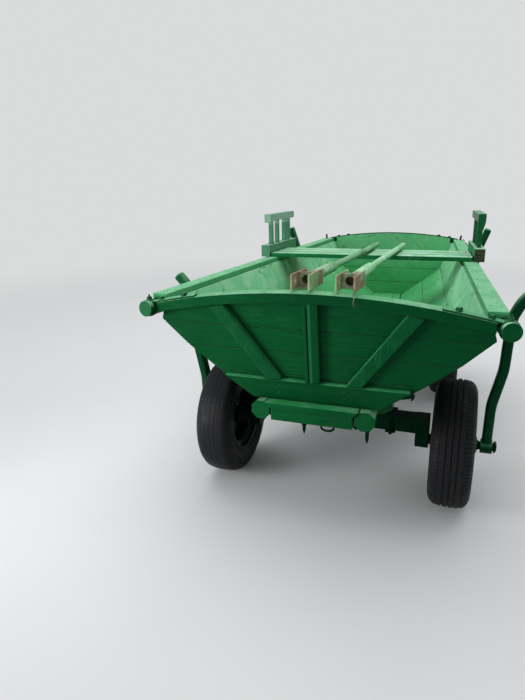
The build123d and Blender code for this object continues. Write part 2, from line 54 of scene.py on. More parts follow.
# The cart's own lines, as in its solids
WHEELBASE = 1.5
WHEEL_OUT = {"rear": 0.578, "front": 0.488}
AXLE_HEIGHT = 0.31
BOX_HALF = 1.211
LEAN = 0.158
LEAN_HEIGHT = 0.999
RAIL_REAR = 0.727
RAIL_FRONT = 0.550
TAPER = (RAIL_REAR - RAIL_FRONT) / (2 * BOX_HALF)
PLANK = 0.022
BATTEN = 0.028
PROFILE = ((0.292, 0.625), (0.452, 0.742), (0.583, 0.850), (0.664, 1.0535))
END_PROFILE = ((0.292, 0.625), (0.452, 0.742), (0.583, 0.850), (0.696, 0.965))
RIB_TOP = 0.978
RIB_PLACES = (-0.850, 0.100, 0.900)
END_SEAMS = (0.742, 0.850, 0.955)
RAIL_TOP = 1.078
SEAT_TOP = 1.102
FLOOR_SEAM = 0.636
FLOOR_END = 1.15
FLOOR_BOARD = 0.1375
FLOOR_EDGE = 0.2772
BATTEN_FOOT = 0.728
BATTEN_TOP = 1.067
# Arched beams: height at the ends, rise, half length
REAR_ARCH = (1.055, 0.074, 0.687)
FRONT_ARCH = (1.085, 0.045, 0.505)
# Rail poles: height, distance in from the rail, where they bend and end, how far out they go,
# and the radius and place of their bands
POLE_HEIGHT = 1.0185
POLE_INSET = 0.038
POLE_BEND = 0.950
POLE_END = 1.300
POLE_FLARE = 0.041
POLE_BAND = 0.0368
BAND_AT = 1.268
# Circle of the wheel nuts, and how far out the disc and the linch pin are from the wheel's middle
NUT_CIRCLE = 0.0625
DISC_OUT = 0.020
LINCH_PIN_OUT = 0.1935
# The shafts' lines, each from its fork to its front end
SHAFT_LINES = (
    ((-0.032, -1.300, 1.163), (0.0, 0.470, 1.1173)),
    ((0.145, -1.300, 1.163), (0.172, 0.470, 1.1173)),
)
SIDES = {"left": -1, "right": 1}
UP = (0, 0, 1)

# Linear colours of paint, wood, dirt, rust, rubber, floor and sky, some of them painted shade and highlight
GREEN_DEEP = (0.004, 0.070, 0.024)
GREEN_WORN_LIT = (0.135, 0.44, 0.215)
GREEN_PALE = (0.27, 0.56, 0.34)
GREEN_BLACK = (0.0008, 0.008, 0.0042)
GREEN_SHEEN = (0.15, 1.0, 0.42)
GREEN_STEEL = (0.003, 0.05, 0.018)
GREEN_RIM = (0.006, 0.075, 0.028)
DUST = (0.27, 0.30, 0.22)
BARE_WOOD = (0.19, 0.145, 0.095)
DARK_WOOD = (0.028, 0.022, 0.016)
SAWN_WOOD = (0.075, 0.066, 0.042)
RUBBED_WOOD = (0.26, 0.30, 0.21)
MUD = (0.10, 0.08, 0.058)
RUST = (0.16, 0.062, 0.03)
RUST_DARK = (0.045, 0.022, 0.014)
STEEL = (0.20, 0.20, 0.19)
WHEEL_GRIME_AND_SHADE = (0.0012, 0.0016, 0.0016)
WHEEL_GRIME_AND_SHADE_GREY = (0.006, 0.0075, 0.007)
SEAM_DARK = (0.0016, 0.034, 0.0105)
SEAM_GREEN = (0.004, 0.052, 0.018)
SEAM_PAINT = (0.0045, 0.085, 0.025)
SEAM_PAINT_LIT = (0.012, 0.15, 0.05)
RIGHT_TUBE_PALE = (0.48, 0.86, 0.54)
RIGHT_TUBE_GREEN = (0.24, 0.66, 0.33)
LEFT_TUBE_PALE = (0.26, 0.52, 0.28)
LEFT_TUBE_GREEN = (0.10, 0.38, 0.15)
TUBE_UNDER_SHADE = (0.03, 0.20, 0.075)
TUBE_EDGE = (0.42, 0.52, 0.36)
TUBE_GRIME_AND_SHADE = (0.010, 0.012, 0.007)
SLEEVE_PALE = (0.56, 0.78, 0.52)
KHAKI = (0.27, 0.42, 0.20)
KHAKI_PALE = (0.40, 0.52, 0.30)
FORK_RUST = (0.46, 0.31, 0.23)
FORK_RUST_DARK = (0.20, 0.11, 0.075)
RUBBER = (0.0036, 0.0040, 0.0052)
RUBBER_GREY = (0.022, 0.023, 0.025)
RUBBER_EDGE = (0.050, 0.052, 0.056)
RUBBER_GRIME_AND_SHADE = (0.001, 0.001, 0.0013)
FLOOR_PALE = (0.80, 0.81, 0.815)
FLOOR_PALER = (0.84, 0.85, 0.855)
FLOOR_BOUNCE = (0.36, 0.355, 0.35)
BACKDROP = (0.70, 0.71, 0.715)
SKY = (0.95, 0.98, 1.0)
SKY_LEVEL = 0.44


class Graph:
    """Small helper that wires a material's nodes."""

    def __init__(self, name):
        self.material = bpy.data.materials.new(name)
        self.material.use_nodes = True
        self.tree = self.material.node_tree
        self.tree.nodes.clear()
        self.output = self.add("ShaderNodeOutputMaterial")
        self.shader = self.add("ShaderNodeBsdfPrincipled")
        self.join(self.shader.outputs[0], self.output.inputs[0])
        self.coords = self.add("ShaderNodeTexCoord")

    def add(self, kind, **settings):
        """New node, with its settings."""
        node = self.tree.nodes.new(kind)
        for key, value in settings.items():
            setattr(node, key, value)
        return node

    def join(self, source, target):
        self.tree.links.new(source, target)

    def put(self, socket, value):
        """Sets a socket to a number or colour, or joins an output to it."""
        if isinstance(value, bpy.types.NodeSocket):
            self.join(value, socket)
        elif isinstance(value, tuple) and len(value) == 3 and socket.type == "RGBA":
            socket.default_value = (*value, 1)
        else:
            socket.default_value = value

    def place(self, scale=(1, 1, 1)):
        """Place on the object, scaled along its axes."""
        mapping = self.add("ShaderNodeMapping")
        self.join(self.coords.outputs["Object"], mapping.inputs["Vector"])
        mapping.inputs["Scale"].default_value = scale
        return mapping.outputs[0]

    def noise(self, scale, detail=4, rough=0.55, stretch=(1, 1, 1), twist=0.0):
        """Clouds or specks around 0.5."""
        node = self.add("ShaderNodeTexNoise")
        self.join(self.place(stretch), node.inputs["Vector"])
        node.inputs["Scale"].default_value = scale
        node.inputs["Detail"].default_value = detail
        node.inputs["Roughness"].default_value = rough
        node.inputs["Distortion"].default_value = twist
        return node.outputs["Fac"]

    def lines(self, scale, stretch, turn, width):
        """Thin wandering lines, in a direction of their own."""
        turned = self.add("ShaderNodeMapping")
        self.join(self.coords.outputs["Object"], turned.inputs["Vector"])
        turned.inputs["Rotation"].default_value = tuple(radians(a) for a in turn)
        drawn = self.add("ShaderNodeMapping")
        self.join(turned.outputs[0], drawn.inputs["Vector"])
        drawn.inputs["Scale"].default_value = stretch
        node = self.add("ShaderNodeTexNoise")
        self.join(drawn.outputs[0], node.inputs["Vector"])
        node.inputs["Scale"].default_value = scale
        node.inputs["Detail"].default_value = 4
        off = self.math("ABSOLUTE", self.math("SUBTRACT", node.outputs["Fac"], 0.5))
        return self.ramp(off, width, 0.25 * width)

    def inside(self, side):
        """Share of a face that looks into the box, for its sides, front or floor."""
        if side == "sides":
            return self.ramp(self.times(self.axis("Object", "X"), self.axis("Normal", "X")), 0.02, -0.02)
        if side == "front":
            return self.ramp(self.axis("Normal", "Y"), 0.2, -0.2)
        return self.ramp(self.axis("Normal", "Z"), -0.2, 0.2)

    def nook_grime_and_shade(self, distance):
        """Share of painted shade and grime in corners and cracks, by how closed in a place is."""
        node = self.add("ShaderNodeAmbientOcclusion", samples=4)
        node.inputs["Distance"].default_value = distance
        return self.ramp(node.outputs["AO"], 0.72, 0.30)

    def ramp(self, value, low, high, start=0.0, stop=1.0):
        """Goes smoothly from start to stop as the value goes from low to high."""
        node = self.add("ShaderNodeMapRange", interpolation_type="SMOOTHSTEP")
        self.put(node.inputs["Value"], value)
        node.inputs["From Min"].default_value = low
        node.inputs["From Max"].default_value = high
        node.inputs["To Min"].default_value = start
        node.inputs["To Max"].default_value = stop
        return node.outputs[0]

    def math(self, operation, a, b=0.0, clamp=False):
        node = self.add("ShaderNodeMath", operation=operation, use_clamp=clamp)
        self.put(node.inputs[0], a)
        self.put(node.inputs[1], b)
        return node.outputs[0]

    def times(self, *values):
        product = values[0]
        for value in values[1:]:
            product = self.math("MULTIPLY", product, value)
        return product

    def mix(self, share, a, b):
        """Colour a with a share of colour b."""
        node = self.add("ShaderNodeMix", data_type="RGBA")
        self.put(node.inputs["Factor"], share)
        self.put(node.inputs[6], a)
        self.put(node.inputs[7], b)
        return node.outputs[2]

    def axis(self, source, letter):
        """One coordinate of the place on the object or of its normal."""
        node = self.add("ShaderNodeSeparateXYZ")
        self.join(self.coords.outputs[source], node.inputs[0])
        return node.outputs[letter]

    def edge(self, radius):
        """Share of wear near sharp edges, and a normal that rounds them."""
        bevel = self.add("ShaderNodeBevel", samples=4)
        bevel.inputs["Radius"].default_value = radius
        flat = self.add("ShaderNodeNewGeometry")
        dot = self.add("ShaderNodeVectorMath", operation="DOT_PRODUCT")
        self.join(bevel.outputs[0], dot.inputs[0])
        self.join(flat.outputs["Normal"], dot.inputs[1])
        return self.math("SUBTRACT", 1.0, dot.outputs["Value"]), bevel.outputs[0]

    def bump(self, height, strength, distance, normal=None):
        """Normal that follows a height."""
        node = self.add("ShaderNodeBump")
        node.inputs["Strength"].default_value = strength
        node.inputs["Distance"].default_value = distance
        self.join(height, node.inputs["Height"])
        if normal is not None:
            self.join(normal, node.inputs["Normal"])
        return node.outputs[0]

    def finish(self, colour, rough, normal=None, metal=0.0, gloss=0.3, tint=(1.0, 1.0, 1.0)):
        """Fills in the shader and gives the material."""
        self.put(self.shader.inputs["Base Color"], colour)
        self.put(self.shader.inputs["Roughness"], rough)
        self.shader.inputs["Metallic"].default_value = metal
        self.shader.inputs["Specular IOR Level"].default_value = gloss
        self.shader.inputs["Specular Tint"].default_value = (*tint, 1)
        if normal is not None:
            self.join(normal, self.shader.inputs["Normal"])
        return self.material


# Paint of a part: its colours from the painted shade of faces that look down to the palest tops,
# which are worn paint and painted highlight, how much its gloss gives back and its share of scratches
Tone = namedtuple("Tone", "deep body streak worn pale gloss scratched")
# OUTSIDE's greens are made darker than the outer paint, as painted shade on faces turned from the sky
OUTSIDE = Tone((0.0016, 0.046, 0.0125), (0.0045, 0.092, 0.0255), (0.011, 0.16, 0.050),
               GREEN_WORN_LIT, GREEN_PALE, gloss=0.12, scratched=0.05)
BATTENS = Tone((0.0016, 0.048, 0.0135), (0.0062, 0.104, 0.031), (0.020, 0.19, 0.070),
               (0.022, 0.24, 0.082), (0.07, 0.36, 0.15), gloss=0.12, scratched=0.08)
TIMBER = Tone((0.0014, 0.048, 0.013), (0.0042, 0.094, 0.025), (0.011, 0.17, 0.053),
              (0.042, 0.37, 0.12), (0.11, 0.50, 0.21), gloss=0.12, scratched=0.05)
STAKES = Tone((0.0013, 0.029, 0.0095), (0.0035, 0.062, 0.021), (0.008, 0.095, 0.036),
              GREEN_WORN_LIT, GREEN_PALE, gloss=0.12, scratched=0.10)
INSIDE = Tone((0.026, 0.27, 0.085), (0.064, 0.43, 0.145), (0.14, 0.52, 0.24),
              (0.25, 0.68, 0.36), (0.42, 0.80, 0.52), gloss=0.15, scratched=0.75)
RAILS = Tone((0.06, 0.34, 0.13), (0.12, 0.50, 0.22), (0.17, 0.50, 0.26),
             (0.155, 0.48, 0.24), (0.28, 0.60, 0.36), gloss=0.15, scratched=0.5)
SEAT = Tone((0.004, 0.10, 0.030), (0.010, 0.16, 0.05), (0.05, 0.27, 0.12),
            (0.28, 0.66, 0.38), (0.50, 0.82, 0.58), gloss=0.2, scratched=0.3)
ARM_LEFT = Tone((0.035, 0.15, 0.075), (0.085, 0.24, 0.145), (0.21, 0.44, 0.28),
                (0.30, 0.53, 0.38), (0.44, 0.62, 0.50), gloss=0.2, scratched=0.4)
ARM_RIGHT = Tone((0.0045, 0.052, 0.016), (0.012, 0.095, 0.035), (0.05, 0.2, 0.1),
                 (0.20, 0.38, 0.25), (0.30, 0.46, 0.34), gloss=0.12, scratched=0.3)
# Where old wear and marks lie on the cart, and the middle batten's painted shade and highlight
MIDDLE_BATTEN = 0.03
LIT_RIDGE = ((-0.014, -0.010), (0.003, -0.004))
WEAR_DRIFT = 0.16
FADE_EDGE = 0.012
RUB_REACH = 0.30
SPLASH_TOP = 0.62


def painted_wood(name, along, tone, seed=0.0, bare_ends=0.0, tops=1.0, rounding=0.004, chip=0.5,
                 facing=(0.12, 0.75), above=None, box_side=None, bleached=None, rubbed_at=None,
                 grime_and_shade=0.75, middle=0.0, shaded_from=None):
    """Oil paint on planks.

    along: axis that the grain follows, 0, 1 or 2. bare_ends: share of bare sawn wood on the ends.
    tops: share of wear and painted highlight on the faces that look up by more than facing, and over the
    height above.
    rounding, chip: how round an edge looks, and how much paint it has lost; upper edges turn pale as wear and
    painted highlight.
    box_side: side of the box, whose outer face has the outside's paint.
    bleached: height over which the paint has faded. rubbed_at: spot that the shafts rubbed bare.
    grime_and_shade: grime and painted shade in corners. shaded_from: where, from left to right, painted shade
    darkens the paint.
    middle: share of painted shade on the middle batten, which has a painted highlight on a ridge beside its
    split.
    """
    g = Graph(name)
    shades = tone[:5]
    scratched = tone.scratched
    if box_side:
        inside = g.inside(box_side)
        shades = [g.mix(inside, outer, inner) for outer, inner in zip(OUTSIDE, shades)]
        scratched = g.ramp(inside, 0.0, 1.0, OUTSIDE.scratched, scratched)
    deep, body, streak, worn, pale = shades
    stretch = [11.0 + seed] * 3
    stretch[along] = 0.6 + seed
    grain = g.noise(5.5, 7, 0.62, stretch, 0.4)
    fine = g.noise(24, 4, 0.6, stretch, 0.2)
    cloud = g.noise(2.3 + seed, 5, 0.62, twist=0.5)
    patch = g.noise(11.0, 7, 0.66, twist=0.4)
    up = g.axis("Normal", "Z")
    across = g.axis("Object", "X")
    level = g.axis("Object", "Z")

    # Painted shade: faces that look down take the deep colour
    colour = g.mix(g.ramp(up, -0.5, 0.1), deep, body)
    colour = g.mix(g.times(g.ramp(cloud, 0.40, 0.68), 0.55), colour, deep)
    colour = g.mix(g.times(g.ramp(grain, 0.48, 0.74), 0.30), colour, streak)
    # Painted shade on the middle batten, and a painted highlight on the ridge beside its split
    if middle:
        out = g.math("ABSOLUTE", across)
        colour = g.mix(g.times(g.ramp(out, 2 * MIDDLE_BATTEN, MIDDLE_BATTEN), middle), colour, deep)
        left, right = LIT_RIDGE
        ridge = g.times(g.ramp(across, *left), g.ramp(across, *right), 0.85)
        colour = g.mix(g.times(ridge, middle), colour, streak)
    # Painted shade: the paint darkens across the given span, from left to right
    if shaded_from:
        colour = g.mix(g.times(g.ramp(across, *shaded_from), 0.5), colour, deep)

    # Worn paint and painted highlight: faces that look up take the worn and pale colours
    top = g.times(g.ramp(up, *facing), g.ramp(cloud, 0.2, 0.7, 0.66, 1.0), tops)
    if above:
        drifted = g.math("ADD", level, g.math("MULTIPLY", patch, WEAR_DRIFT))
        top = g.times(top, g.ramp(drifted, above + 0.04, above + 0.20, 0.10, 1.0))
    colour = g.mix(top, colour, g.mix(g.ramp(patch, 0.36, 0.68), worn, pale))
    if bleached:
        faded = g.ramp(level, bleached - FADE_EDGE, bleached + FADE_EDGE)
        colour = g.mix(g.times(faded, 0.5), colour, pale)
    dusty = g.times(g.ramp(up, 0.2, 0.8), g.ramp(patch, 0.56, 0.76), 0.5)
    colour = g.mix(dusty, colour, DUST)
    if rubbed_at:
        away = g.add("ShaderNodeVectorMath", operation="DISTANCE")
        g.join(g.coords.outputs["Object"], away.inputs[0])
        away.inputs[1].default_value = rubbed_at
        near = g.ramp(away.outputs["Value"], RUB_REACH, 0.2 * RUB_REACH)
        near = g.times(near, g.ramp(patch, 0.36, 0.56), inside)
        colour = g.mix(g.times(near, 0.8), colour, RUBBED_WOOD)

    scuff = g.times(g.lines(2.6, (1, 1, 0.35), (25, 40, 20), 0.014), g.ramp(patch, 0.40, 0.62))
    crossing = g.times(g.lines(4.5, (0.3, 1, 1), (0, 35, 50), 0.010), g.ramp(cloud, 0.42, 0.6))
    scuff = g.math("MAXIMUM", scuff, crossing)
    mark = g.mix(g.ramp(fine, 0.45, 0.55), g.mix(0.6, deep, GREEN_BLACK), g.mix(0.5, streak, DUST))
    colour = g.mix(g.times(scuff, scratched), colour, mark)
    crack = g.times(g.ramp(fine, 0.36, 0.28), g.ramp(grain, 0.46, 0.34))
    colour = g.mix(g.times(crack, 0.5), colour, GREEN_BLACK)
    # Worn edges: upper ones turn pale as wear and painted highlight, lower ones take the streak colour
    wear, soft = g.edge(rounding)
    rubbed = g.times(g.ramp(wear, 0.02, 0.16), g.ramp(patch, 0.3, 0.62))
    colour = g.mix(g.times(rubbed, chip), colour, g.mix(g.ramp(up, -0.2, 0.4), streak, pale))
    bare = g.times(g.ramp(wear, 0.1, 0.3), g.ramp(patch, 0.62, 0.68))
    colour = g.mix(g.times(bare, 0.5), colour, BARE_WOOD)
    # Painted shade and grime in corners and cracks
    colour = g.mix(g.times(g.nook_grime_and_shade(0.028), grime_and_shade), colour, GREEN_BLACK)
    low = g.times(g.ramp(level, SPLASH_TOP, 0.3), g.ramp(patch, 0.45, 0.7))
    colour = g.mix(g.times(low, 0.3), colour, MUD)
    if bare_ends:
        rings = g.noise(60, 3, 0.5, (1.0, 0.1, 1.0), 1.5)
        sawn = g.mix(g.ramp(rings, 0.35, 0.65), DARK_WOOD, SAWN_WOOD)
        end = g.math("ABSOLUTE", g.axis("Normal", "XYZ"[along]))
        colour = g.mix(g.times(g.ramp(end, 0.9, 0.97), bare_ends), colour, sawn)
    height = g.math("ADD", g.times(grain, 0.7), g.times(fine, 0.3))
    normal = g.bump(height, 0.26, 0.004, soft)
    rough = g.math("ADD", g.ramp(patch, 0.3, 0.75, 0.3, 0.45), g.times(top, 0.2))
    return g.finish(colour, rough, normal, gloss=tone.gloss, tint=GREEN_SHEEN)


def painted_steel(name, base=GREEN_DEEP, rusty=0.5, lit=0.35, gloss=0.15, inner=None):
    """Paint over steel that rusts through at its edges. lit is the share of paler paint on its
    tops, as wear and painted highlight. inner is how far out a wheel's middle is: the side
    towards the cart is near black, as grime and painted shade."""
    g = Graph(name)
    cloud = g.noise(11, 5, 0.62, twist=0.5)
    speck = g.noise(75, 4, 0.6)
    wear, soft = g.edge(0.003)
    worn = g.times(g.ramp(wear, 0.05, 0.3), rusty)
    through = g.math("ADD", g.ramp(cloud, 0.70 - 0.22 * rusty, 0.78 - 0.12 * rusty), worn)
    through = g.math("MULTIPLY", through, g.ramp(speck, 0.3, 0.55), True)
    rust = g.mix(speck, RUST_DARK, RUST)
    lighter = tuple(c * 1.7 + 0.0006 for c in base)
    colour = g.mix(g.ramp(cloud, 0.3, 0.7), base, lighter)
    colour = g.mix(through, colour, rust)
    # Painted highlight and wear: tops take the worn, paler green
    up = g.ramp(g.axis("Normal", "Z"), 0.3, 0.95)
    colour = g.mix(g.times(up, lit), colour, GREEN_WORN_LIT)
    # Painted shade and grime in corners
    colour = g.mix(g.times(g.nook_grime_and_shade(0.025), 0.7), colour, GREEN_BLACK)
    # Painted shade and grime: a wheel's side towards the cart is near black
    if inner:
        out = g.math("ABSOLUTE", g.axis("Object", "X"))
        grimy_and_shaded = g.times(g.ramp(out, inner + 0.035, inner + 0.005), 0.97)
        colour = g.mix(grimy_and_shaded, colour, g.mix(speck, WHEEL_GRIME_AND_SHADE, WHEEL_GRIME_AND_SHADE_GREY))
    height = g.math("ADD", g.times(speck, 0.4), g.times(through, -0.6))
    normal = g.bump(height, 0.45, 0.0015, soft)
    rough = g.math("ADD", 0.36, g.times(through, 0.45))
    return g.finish(colour, rough, normal, gloss=gloss, tint=GREEN_SHEEN)


def bare_steel(name):
    """Worn, brown steel."""
    g = Graph(name)
    cloud = g.noise(28, 6, 0.65)
    speck = g.noise(150, 3, 0.6)
    share = g.ramp(cloud, 0.455, 0.6375)
    colour = g.mix(share, STEEL, g.mix(speck, RUST_DARK, RUST))
    wear, soft = g.edge(0.002)
    colour = g.mix(g.ramp(wear, 0.08, 0.3, 0.0, 0.4), colour, STEEL)
    normal = g.bump(g.math("ADD", speck, cloud), 0.4, 0.001, soft)
    return g.finish(colour, g.ramp(cloud, 0.3, 0.7, 0.42, 0.75), normal, metal=0.4)


def worn_tube(name):
    """Worn green paint on the shafts, palest on the right one and on the sleeves; khaki and rust
    on the forks."""
    g = Graph(name)
    cloud = g.noise(14, 5, 0.62, (1, 0.35, 1), 0.4)
    speck = g.noise(95, 4, 0.62)
    blot = g.noise(34, 5, 0.66)
    across = g.axis("Object", "X")
    along = g.axis("Object", "Y")
    fork = g.ramp(along, -1.05, -1.14)
    sleeve = g.ramp(along, -0.78, -0.98)
    faded = g.ramp(cloud, 0.35, 0.65)
    left_paint = g.mix(faded, LEFT_TUBE_PALE, LEFT_TUBE_GREEN)
    right_paint = g.mix(faded, RIGHT_TUBE_PALE, RIGHT_TUBE_GREEN)
    colour = g.mix(g.ramp(across, 0.06, 0.08), left_paint, right_paint)
    colour = g.mix(g.times(sleeve, g.ramp(blot, 0.4, 0.66)), colour, SLEEVE_PALE)
    colour = g.mix(fork, colour, g.mix(g.ramp(blot, 0.4, 0.62), KHAKI, KHAKI_PALE))
    rusted = g.math("ADD", g.times(fork, 0.9), 0.04)
    outermost = g.ramp(across, -0.045, -0.058, 0.0, 0.7)
    rust = g.math("MULTIPLY", g.math("ADD", g.ramp(cloud, 0.43, 0.56), outermost), rusted, True)
    colour = g.mix(rust, colour, g.mix(speck, FORK_RUST_DARK, FORK_RUST))
    # Painted shade: faces of the shafts that look down are darker green
    under = g.times(g.ramp(g.axis("Normal", "Z"), 0.1, -0.6), g.ramp(fork, 0.9, 0.0), 0.8)
    colour = g.mix(under, colour, TUBE_UNDER_SHADE)
    wear, soft = g.edge(0.003)
    colour = g.mix(g.ramp(wear, 0.06, 0.25), colour, TUBE_EDGE)
    # Painted shade and grime in corners
    colour = g.mix(g.times(g.nook_grime_and_shade(0.012), 0.7), colour, TUBE_GRIME_AND_SHADE)
    normal = g.bump(g.math("ADD", speck, cloud), 0.35, 0.0015, soft)
    return g.finish(colour, g.math("ADD", 0.42, g.times(rust, 0.35)), normal, gloss=0.2)


def rubber(name):
    """Worn tyre rubber, greyer in clouds, in specks and at its edges."""
    g = Graph(name)
    cloud = g.noise(9, 5, 0.6, twist=0.4)
    speck = g.noise(120, 4, 0.65)
    colour = g.mix(g.times(g.ramp(cloud, 0.42, 0.8), 0.4), RUBBER, RUBBER_GREY)
    colour = g.mix(g.times(g.ramp(speck, 0.55, 0.75), 0.2), colour, RUBBER_GREY)
    wear, soft = g.edge(0.0015)
    colour = g.mix(g.times(g.ramp(wear, 0.03, 0.2), 0.7), colour, RUBBER_EDGE)
    # Painted shade and grime in corners
    colour = g.mix(g.times(g.nook_grime_and_shade(0.010), 0.8), colour, RUBBER_GRIME_AND_SHADE)
    normal = g.bump(speck, 0.3, 0.0008, soft)
    return g.finish(colour, g.ramp(cloud, 0.3, 0.75, 0.5, 0.75), normal, gloss=0.25)


def packed_dirt_and_shade(name):
    """What fills the seams between boards: dirt and painted shade inside, old paint at the tail, and
    black, as painted shade, in the split of the tail's middle batten."""
    g = Graph(name)
    # Dirt and painted shade in the gaps between boards; the split of the middle batten is black as painted
    # shade
    dirt_and_shade = g.mix(g.noise(60, 4, 0.6), SEAM_DARK, SEAM_GREEN)
    paint = g.mix(g.noise(9, 3), SEAM_PAINT, SEAM_PAINT_LIT)
    tail = g.ramp(g.axis("Object", "Y"), -1.15, -1.17)
    out = g.math("ABSOLUTE", g.axis("Object", "X"))
    split = g.ramp(out, MIDDLE_BATTEN, 0.8 * MIDDLE_BATTEN)
    colour = g.mix(tail, dirt_and_shade, g.mix(split, paint, GREEN_BLACK))
    return g.finish(colour, 0.95, gloss=0.05)


wood_y = painted_wood("wood_along_cart", 1, OUTSIDE)
wood_x = painted_wood("wood_across_cart", 0, OUTSIDE, 0.13, shaded_from=(-0.4, 0.05))
board_wood = painted_wood("wood_end_boards", 0, OUTSIDE, 0.17, tops=0.35, grime_and_shade=0.45, shaded_from=(0.0, 0.5))
batten_wood = painted_wood("wood_battens", 2, BATTENS, 0.07, rounding=0.011, chip=0.35, middle=0.7)
stake_wood = painted_wood("wood_stakes", 2, STAKES, 0.10, tops=0.6)
timber_wood = painted_wood("wood_timbers", 0, TIMBER, 0.15, rounding=0.010, chip=0.35, shaded_from=(-0.3, 0.5))
ledge_wood = painted_wood("wood_ledge", 0, TIMBER, 0.19, tops=0.9, rounding=0.010, chip=0.35,
                          shaded_from=(-0.9, -0.3))
rail_wood = painted_wood("wood_rails", 1, RAILS, 0.25, grime_and_shade=0.4)
side_wood = painted_wood("wood_side", 1, INSIDE, 0.21, facing=(-0.1, 0.4), above=0.84, box_side="sides",
                         rubbed_at=(-0.51, 0.20, 0.93), grime_and_shade=0.45)
floor_wood = painted_wood("wood_floor", 1, INSIDE, 0.23, above=0.80, box_side="floor")
front_wood = painted_wood("wood_front", 0, INSIDE, 0.3, facing=(-0.1, 0.5), above=0.84, box_side="front")
slat_wood = painted_wood("wood_slats", 0, SEAT, 0.35)
beam_left_wood = painted_wood("wood_seat_beam_left", 1, ARM_LEFT, 0.4)
beam_right_wood = painted_wood("wood_seat_beam_right", 1, SEAT, 0.4, bare_ends=0.95)
arm_left_wood = painted_wood("wood_armrest_left", 2, ARM_LEFT, 0.45, bleached=1.275)
arm_right_wood = painted_wood("wood_armrest_right", 2, ARM_RIGHT, 0.45)
steel_green = painted_steel("steel_green", lit=0.85)
steel_plain = painted_steel("steel_plain", GREEN_STEEL, 0.15, 0.3)
# steel_dark is near black, partly as painted shade for the axles under the box
steel_dark = painted_steel("steel_dark", GREEN_BLACK, 0.2, 0.03, 0.08)
rear_rim = painted_steel("rim_paint_rear", GREEN_RIM, 0.75, inner=WHEEL_OUT["rear"])
front_rim = painted_steel("rim_paint_front", GREEN_RIM, 0.75, inner=WHEEL_OUT["front"])
steel_bare = bare_steel("steel_bare")
tube = worn_tube("tube_paint")
tyre_rubber = rubber("tyre_rubber")
seam_dirt_and_shade = packed_dirt_and_shade("seam_dirt_and_shade")

# The first word that is in a node's name gives its finish
FINISHES = (
    ("_tyre_", tyre_rubber),
    ("rear_wheel_", rear_rim),
    ("front_wheel_", front_rim),
    ("_axle", steel_dark),
    ("shaft_lugs", steel_dark),
    ("king_pin", steel_bare),
    ("shaft_", tube),
    ("_stake_", stake_wood),
    ("armrest_left", arm_left_wood),
    ("armrest_right", arm_right_wood),
    ("battens", batten_wood),
    ("ribs", batten_wood),
    ("seat_slats", slat_wood),
    ("seat_beam_left", beam_left_wood),
    ("seat_beam_right", beam_right_wood),
    ("rail_plank", rail_wood),
    ("side_planks", side_wood),
    ("front_boards", front_wood),
    ("floor_boards", floor_wood),
    ("cross_board", timber_wood),
    ("boards", board_wood),
    ("arch_beam", wood_x),
    ("ledge", ledge_wood),
    ("bolster", wood_x),
)


def finish_for(node):
    """Material for a node of the solids."""
    for word, material in FINISHES:
        if word in node:
            return material
    return wood_y


for name, node in nodes.items():
    for slot in node.material_slots:
        slot.material = finish_for(name)


def inset(y):
    """How far the side has come in from its place at the rear."""
    return TAPER * (y + BOX_HALF)


def end_y(z, end):
    """Place along the cart of its leaning end at a height. end is -1 at the rear, 1 at the front."""
    return end * (BOX_HALF + LEAN * (z - LEAN_HEIGHT))


def half_width(z, end):
    """Half width of the end boards at a height."""
    for (x1, z1), (x2, z2) in zip(END_PROFILE, END_PROFILE[1:]):
        if z <= z2:
            break
    return x1 + (x2 - x1) * (z - z1) / (z2 - z1) - inset(end_y(z, end))


def outward(end):
    """Direction that a leaning end faces."""
    angle = atan(LEAN)
    return Vector((0, end * cos(angle), -sin(angle)))


def on_end(x, z, end, out):
    """Point on the leaning end of the box, moved out of it by a distance."""
    return Vector((x, end_y(z, end), z)) + outward(end) * out


def arch(x, low, rise, half):
    """Height of an arched beam's top."""
    return low + rise * (1 - (x / half) ** 2)


